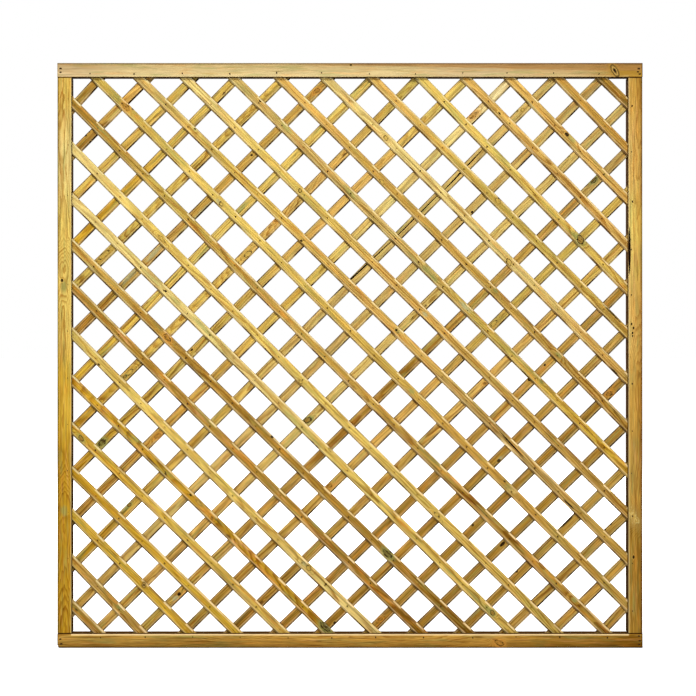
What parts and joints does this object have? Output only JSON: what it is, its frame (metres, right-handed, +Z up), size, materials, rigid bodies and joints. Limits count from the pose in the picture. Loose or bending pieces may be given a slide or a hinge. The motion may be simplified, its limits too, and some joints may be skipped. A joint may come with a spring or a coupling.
{
  "type": "diamond trellis panel",
  "caption": "Square garden trellis panel: a grooved softwood frame holding two layers of diagonal slats that cross into a diamond lattice.",
  "frame": {"origin": "middle of the panel's foot: centre of the bottom rail's underside", "axes": "+X along the panel to the right as seen from the front, +Z up, +Y from the front face to the back; the front, where the slats nearest the viewer fall from left to right, faces -Y"},
  "size_m": [1.8, 0.044, 1.8],
  "materials": {
    "frame_pine": "planed, pressure-treated pine, matt",
    "front_slat_pine": "planed, pressure-treated pine with eased edges, matt",
    "back_slat_pine": "sawn, pressure-treated pine, matt",
    "brad_steel": "dull, weathered brad heads"
  },
  "bodies": {
    "root": {"top_rail": "frame_pine", "bottom_rail": "frame_pine", "left_stile": "frame_pine", "right_stile": "frame_pine", "front_slat_01": "front_slat_pine", "front_slat_02": "front_slat_pine", "front_slat_03": "front_slat_pine", "front_slat_04": "front_slat_pine", "front_slat_05": "front_slat_pine", "front_slat_06": "front_slat_pine", "front_slat_07": "front_slat_pine", "front_slat_08": "front_slat_pine", "front_slat_09": "front_slat_pine", "front_slat_10": "front_slat_pine", "front_slat_11": "front_slat_pine", "front_slat_12": "front_slat_pine", "front_slat_13": "front_slat_pine", "front_slat_14": "front_slat_pine", "front_slat_15": "front_slat_pine", "front_slat_16": "front_slat_pine", "front_slat_17": "front_slat_pine", "front_slat_18": "front_slat_pine", "front_slat_19": "front_slat_pine", "front_slat_20": "front_slat_pine", "front_slat_21": "front_slat_pine", "front_slat_22": "front_slat_pine", "front_slat_23": "front_slat_pine", "front_slat_24": "front_slat_pine", "back_slat_01": "back_slat_pine", "back_slat_02": "back_slat_pine", "back_slat_03": "back_slat_pine", "back_slat_04": "back_slat_pine", "back_slat_05": "back_slat_pine", "back_slat_06": "back_slat_pine", "back_slat_07": "back_slat_pine", "back_slat_08": "back_slat_pine", "back_slat_09": "back_slat_pine", "back_slat_10": "back_slat_pine", "back_slat_11": "back_slat_pine", "back_slat_12": "back_slat_pine", "back_slat_13": "back_slat_pine", "back_slat_14": "back_slat_pine", "back_slat_15": "back_slat_pine", "back_slat_16": "back_slat_pine", "back_slat_17": "back_slat_pine", "back_slat_18": "back_slat_pine", "back_slat_19": "back_slat_pine", "back_slat_20": "back_slat_pine", "back_slat_21": "back_slat_pine", "back_slat_22": "back_slat_pine", "back_slat_23": "back_slat_pine", "back_slat_24": "back_slat_pine", "top_left_brad_1": "brad_steel", "top_left_brad_2": "brad_steel", "top_right_brad_1": "brad_steel", "top_right_brad_2": "brad_steel", "bottom_left_brad_1": "brad_steel", "bottom_left_brad_2": "brad_steel", "bottom_right_brad_1": "brad_steel", "bottom_right_brad_2": "brad_steel"}
  },
  "joints": []
}
